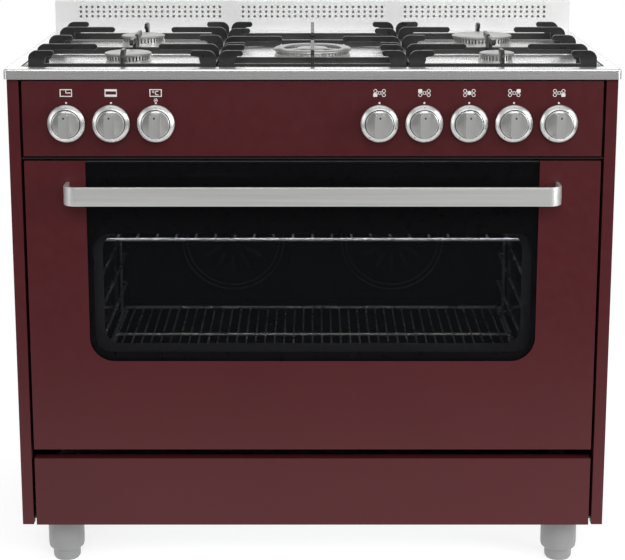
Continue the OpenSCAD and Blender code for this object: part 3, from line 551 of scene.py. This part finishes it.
hob()
burner_tops()
igniters()
for node in SUPPORTS:
    soften(node, 1.1 * MM, cast_black)
soften("backsplash", 0.8 * MM, splash_steel, shortest=20 * MM)

# ---------------------------------------------------------------- front panels

for node in ("side_panel_left", "side_panel_right", "control_panel", "door_skin", "drawer_front"):
    soften(node, 0.5 * MM, red, shortest=3 * MM)
soften("door_handle", 1.0 * MM, steel)


def feet():
    low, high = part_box("feet")
    piece = Piece()
    r = 31 * MM
    floor = high.z - 24 * MM
    for x in (low.x + r, high.x - r):
        for y in (low.y + r, high.y - r):
            piece.lathe((x, y, low.z), UP, [
                (0, 0), (r * 0.60, 0), (r * 0.68, 0.6 * MM), (r * 0.745, 4 * MM), (r * 0.76, 8 * MM),
                (r * 0.76, 19 * MM), (r * 0.78, 20 * MM), (r * 0.88, 20.6 * MM), (r * 0.96, 23 * MM),
                (r * 0.99, 27 * MM), (r, 33 * MM), (r, floor - low.z - 1.2 * MM),
                (r - 1.2 * MM, floor - low.z), (5 * MM, floor - low.z), (5 * MM, high.z - low.z - 1 * MM),
                (4 * MM, high.z - low.z), (0, high.z - low.z)], 64)
    piece.done("levelling_feet", "cabinet", foot_plastic, "foot_plastic", ["feet"])


feet()

# ---------------------------------------------------------------- knobs and marks


def knob(name):
    low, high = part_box(name)
    r = (high.x - low.x) / 2
    length = high.y - low.y
    centre = Vector(((low.x + high.x) / 2, high.y, (low.z + high.z) / 2))
    body = Piece(centre)
    c = 22.6 * MM       # radius of the cap
    scale_r, scale_top = 26.6 * MM, 6.3 * MM
    body.lathe(centre, FRONT, [
        # the shaft's bore and the skirt
        (0, 7 * MM), (4.1 * MM, 7 * MM), (4.1 * MM, 0), (r - 1.2 * MM, 0), (r - 0.2 * MM, 0.5 * MM),
        (r, 1.4 * MM), (r - 0.1 * MM, 2.4 * MM), (r - 1.2 * MM, 4.0 * MM), (r - 4.0 * MM, 6.2 * MM),
        # the groove and the cap
        (c + 1.6 * MM, 7.9 * MM), (c + 0.7 * MM, 8.1 * MM), (c + 0.5 * MM, 7.0 * MM), (c, 7.0 * MM),
        (c, 9.6 * MM), (c - 0.3 * MM, 10.4 * MM), (c - 1.0 * MM, 10.8 * MM), (c - 3 * MM, 10.7 * MM),
        (8 * MM, 9.8 * MM), (0, 9.8 * MM)], 96)
    body.done(name + "_body", name, knob_metal, "knob_metal", [name])
    grip = Piece(centre)
    grip.prism(centre, FRONT, round_outline(16 * MM, 39 * MM, 3.2 * MM), 8 * MM, length, 1.1 * MM, False)
    grip.done(name + "_grip", name, grip_metal, "knob_metal")
    # This piece holds the knob's printed dots and a dark ring in the groove round the cap that is painted
    # shade.
    marks_and_groove_shade = Piece(centre)

    def dot(a, distance, size, height):
        at = centre + Vector((distance * sin(a), 0, distance * cos(a)))
        marks_and_groove_shade.lathe(at, FRONT, [(0, height - 1 * MM), (size, height - 1 * MM), (size, height),
                                (size * 0.7, height + 0.15 * MM), (0, height + 0.15 * MM)], 20)

    dot(0, 13.5 * MM, 1.7 * MM, length)
    dot(0, scale_r, 0.9 * MM, scale_top)
    turns = (105, 215) if name[5:] in GAS else (60, 90, 120, 150, 180, 210, 240, 270, 300)
    for turn in turns:
        dot(radians(turn), scale_r, (1.3 if len(turns) == 2 else 0.7) * MM, scale_top)
    # Painted shade: a dark ring laid in the groove round the cap, where only shade falls.
    inner, outer, base, rim = c + 0.1 * MM, c + 1.3 * MM, 7.0 * MM, 8.3 * MM
    marks_and_groove_shade.lathe(centre, FRONT, [(inner, base), (outer, base), (outer, rim), (inner, rim)], 72, closed=True)
    marks_and_groove_shade.done(name + "_marks", name, print_and_groove_shade, "black_plastic")


for name in GAS + OVEN:
    knob("knob_" + name)


class Print(Piece):
    """Marks printed on the control panel, drawn about a middle."""

    def __init__(self, face):
        super().__init__()
        self.face = face

    def bar(self, x, z, w, h):
        self.block((x - w / 2, self.face - INK, z - h / 2), (x + w / 2, self.face + SEAT, z + h / 2))

    def frame(self, x, z, w, h, line, thick=None):
        thick = thick or line
        for s in (-1, 1):
            self.bar(x + s * (w - line) / 2, z, line, h)
            self.bar(x, z + s * (h - thick) / 2, w - 2 * line, thick)

    def arc(self, x, z, r, line, start=0.0, turn=2 * pi):
        steps = 20
        for k in range(steps):
            a, b = start + turn * k / steps, start + turn * (k + 1) / steps
            ring = [(r * cos(a), r * sin(a)), (r * cos(b), r * sin(b)),
                    ((r - line) * cos(b), (r - line) * sin(b)), ((r - line) * cos(a), (r - line) * sin(a))]
            self.prism((x, self.face, z), FRONT, ring, -SEAT, INK)

    def spot(self, x, z, r):
        self.prism((x, self.face, z), FRONT, round_outline(2 * r, 2 * r, r), -SEAT, INK)


def panel_marks():
    ink = Print(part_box("control_panel")[0].y)
    knob_z = middle("knob_wok").z
    icon_z, dot_z = knob_z + 49.4 * MM, knob_z + 33.0 * MM
    w, h, line = 20 * MM, 12.4 * MM, 1.5 * MM
    for name in GAS + OVEN:
        ink.spot(middle("knob_" + name).x, dot_z, 1.7 * MM)
    x = middle("knob_timer").x
    ink.frame(x, icon_z, w, h, line)
    ink.bar(x, icon_z + 2 * MM, line, 5 * MM)
    ink.bar(x + 4.2 * MM, icon_z, 7 * MM, line)
    x = middle("knob_function").x
    ink.frame(x, icon_z, w, h, line, 3.6 * MM)
    x = middle("knob_thermostat").x
    ink.frame(x, icon_z, w, h, line)
    ink.arc(x - 4 * MM, icon_z + 1.8 * MM, 1.7 * MM, 0.8 * MM)
    ink.arc(x + 2.4 * MM, icon_z, 3.6 * MM, 1.3 * MM, radians(50), radians(260))
    ink.arc(x, icon_z - 12.2 * MM, 3.2 * MM, 0.9 * MM)
    ink.spot(x, icon_z - 12.2 * MM, 1.3 * MM)
    places = {"front_left": (-1, -1), "rear_left": (-1, 1), "rear_right": (1, 1), "front_right": (1, -1)}
    for name in GAS:
        x = middle("knob_" + name).x
        for other, (sx, sz) in places.items():
            px, pz = x + sx * 6.9 * MM, icon_z + sz * 3.3 * MM
            if other == name:
                ink.prism((px, ink.face, pz), FRONT, round_outline(6.6 * MM, 6 * MM, 1.2 * MM),
                          -SEAT, INK)
            else:
                ink.arc(px, pz, 3.1 * MM, 1.0 * MM)
            ink.bar(x + sx * 3.1 * MM, icon_z + sz * 1.9 * MM, 2.2 * MM, 0.8 * MM)
        if name == "wok":
            ink.spot(x, icon_z, 3.3 * MM)
        else:
            ink.arc(x, icon_z, 2.7 * MM, 0.9 * MM)
    ink.done("panel_marks", "cabinet", mark_white, "ceramic")


panel_marks()

# ---------------------------------------------------------------- door glass


def ring_plate(name, body, material, slot, outer, inner, y):
    """A flat frame between two rounded rectangles: (x0, x1, z0, z1, radius)."""
    piece = Piece()
    rows = []
    y0, y1 = y
    for (x0, x1, z0, z1, r), depth in ((outer, y0), (inner, y0), (inner, y1), (outer, y1), (outer, y0)):
        rows.append([Vector(((x0 + x1) / 2 + a, depth, (z0 + z1) / 2 + b))
                     for a, b in round_outline(x1 - x0, z1 - z0, r)])
    piece.rows(rows, start=False, end=False)
    bmesh.ops.remove_doubles(piece.bm, verts=piece.bm.verts, dist=1e-6)
    piece.done(name, body, material, slot)


glass_low, glass_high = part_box("door_outer_glass")
inner_low, inner_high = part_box("door_inner_glass")
window_corner = 26 * MM
window = (inner_low.x + 4 * MM, inner_high.x - 4 * MM, inner_low.z + 10 * MM, inner_high.z - 9 * MM,
          window_corner)
ring_plate("glass_border", "door", frit, "glass_black",
           (glass_low.x + 1 * MM, glass_high.x - 1 * MM, glass_low.z + 1 * MM, glass_high.z - 1 * MM,
            2 * MM),
           window, (glass_high.y + 0.05 * MM, glass_high.y + 0.35 * MM))

# ---------------------------------------------------------------- fan covers

covers_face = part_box("fan_covers")[0].y
beads = Piece()
for name in ("fan_left", "fan_right"):
    centre = middle(name)
    for r in (88 * MM, 97 * MM):
        beads.lathe((centre.x, covers_face, centre.z), FRONT, [
            (r - 2 * MM, -0.4 * MM), (r + 2 * MM, -0.4 * MM), (r + 1.4 * MM, 1 * MM), (r, 1.7 * MM),
            (r - 1.4 * MM, 1 * MM)], 96, closed=True)
beads.done("fan_cover_beads", "cabinet", element, "oven_enamel")

# ---------------------------------------------------------------- carried-over nodes

paint(glass_black, "door_outer_glass")
paint(glass_clear, "door_inner_glass")
paint(door_lining, "door_inner_panel")
paint(oven_enamel, "oven_liner", "fan_covers")
paint(frame_black, "oven_front_frame")
paint(galvanised, "rear_panel", "base_tray", "fan_motors", "gas_manifold", "drawer_rails", "drawer_box",
      "door_hinges")
paint(steel, "screws")
paint(alloy, "burner_pipes", "burner_cups")
paint(wool, "oven_insulation")
paint(seal, "door_gasket")
paint(chrome, "shelf_rails", "upper_shelf", "lower_shelf")
paint(element, "oven_elements", "fan_left", "fan_right")
paint(lamp_glass, "oven_lamp")
paint(switch_body, "oven_switches")
paint(brass, "gas_valves", *["spindle_" + n for n in GAS])
paint(black_plastic, "power_inlet")

# ---------------------------------------------------------------- stage


def plane(name, size, place, material):
    mesh = bpy.data.meshes.new(name)
    w, d = size[0] / 2, size[1] / 2
    mesh.from_pydata([(-w, -d, 0), (w, -d, 0), (w, d, 0), (-w, d, 0)], [], [(0, 1, 2, 3)])
    made = bpy.data.objects.new(name, mesh)
    bpy.context.scene.collection.objects.link(made)
    made.location = place
    mesh.materials.append(material)


floor = Finish("floor", (0.55, 0.55, 0.55), 0.9, Specular_IOR_Level=0.0, Emission_Color=(1, 1, 1, 1),
               Emission_Strength=0.70)
floor.tint(floor.noise((2, 2, 2)), 0.005)
plane("floor", (3.6, 2.5), (0, 0.1, -0.001), floor.mat)


def area(name, place, target, size, power):
    light = bpy.data.lights.new(name, "AREA")
    light.shape = "RECTANGLE"
    light.size, light.size_y = size
    light.energy = power
    made = bpy.data.objects.new(name, light)
    bpy.context.scene.collection.objects.link(made)
    made.location = place
    made.rotation_euler = (Vector(target) - Vector(place)).to_track_quat("-Z", "Y").to_euler()
    made.visible_camera = False


area("top", (0, -0.4, 2.6), (0, 0, 0.6), (2.4, 1.4), 8)
area("front", (0.2, -3.2, 2.4), (0, 0, 0.5), (2.6, 1.2), 48)
area("right", (2.6, -1.6, 1.3), (0, 0, 0.5), (1.0, 2.0), 36)
area("left", (-2.6, -1.4, 1.3), (0, 0, 0.5), (1.0, 2.0), 9)
area("rear", (0, 2.6, 2.0), (0, 0.2, 0.7), (2.6, 1.0), 10)

above = Vector((0, inner_high.y + 5 * MM, window[3] + 12 * MM))
area("oven", above, above + Vector((0, 0.08, -0.16)), (0.7, 0.012), 0.32)

# The world looks white from the camera. Its light grows with height up to a band behind the range.
world = bpy.data.worlds.new("studio")
bpy.context.scene.world = world
world.use_nodes = True
tree = world.node_tree
sky = tree.nodes["Background"]
path = tree.nodes.new("ShaderNodeLightPath")
mix = tree.nodes.new("ShaderNodeMixShader")
seen = tree.nodes.new("ShaderNodeBackground")
seen.inputs["Color"].default_value = (1, 1, 1, 1)
seen.inputs["Strength"].default_value = 1.0
coords = tree.nodes.new("ShaderNodeTexCoord")
split = tree.nodes.new("ShaderNodeSeparateXYZ")
shade = tree.nodes.new("ShaderNodeValToRGB")
rise = tree.nodes.new("ShaderNodeMapRange")
rise.inputs["From Min"].default_value = -1.0
rise.inputs["From Max"].default_value = 1.0
for position, value in ((0.0, 0.22), (0.46, 0.26), (0.53, 0.60), (0.62, 0.95), (0.75, 0.6), (1.0, 0.35)):
    stops = shade.color_ramp.elements
    stop = stops.new(position) if 0 < position < 1 else stops[-int(position)]
    stop.color = (value, value, value, 1)
tree.links.new(coords.outputs["Generated"], split.inputs["Vector"])
tree.links.new(split.outputs["Z"], rise.inputs["Value"])
tree.links.new(rise.outputs["Result"], shade.inputs["Fac"])
depth = tree.nodes.new("ShaderNodeMapRange")
for key, value in (("From Min", -1.0), ("From Max", 1.0), ("To Min", 0.45), ("To Max", 1.0)):
    depth.inputs[key].default_value = value
tree.links.new(split.outputs["Y"], depth.inputs["Value"])
tree.links.new(depth.outputs["Result"], sky.inputs["Strength"])
tree.links.new(shade.outputs["Color"], sky.inputs["Color"])
tree.links.new(path.outputs["Is Camera Ray"], mix.inputs["Fac"])
tree.links.new(sky.outputs["Background"], mix.inputs[1])
tree.links.new(seen.outputs["Background"], mix.inputs[2])
tree.links.new(mix.outputs["Shader"], tree.nodes["World Output"].inputs["Surface"])

# ---------------------------------------------------------------- camera

lens = bpy.data.cameras.new("camera")
lens.lens = 98.7
lens.sensor_width = 36
lens.shift_y = -0.12
camera = bpy.data.objects.new("camera", lens)
bpy.context.scene.collection.objects.link(camera)
away, above_hob, tilt = 2.75, 0.359, radians(78.03)
camera.location = (0, hob_low.y - away, hob_z + above_hob)
camera.rotation_euler = (tilt, 0, 0)
bpy.context.scene.camera = camera
bpy.context.scene.view_settings.view_transform = "Standard"
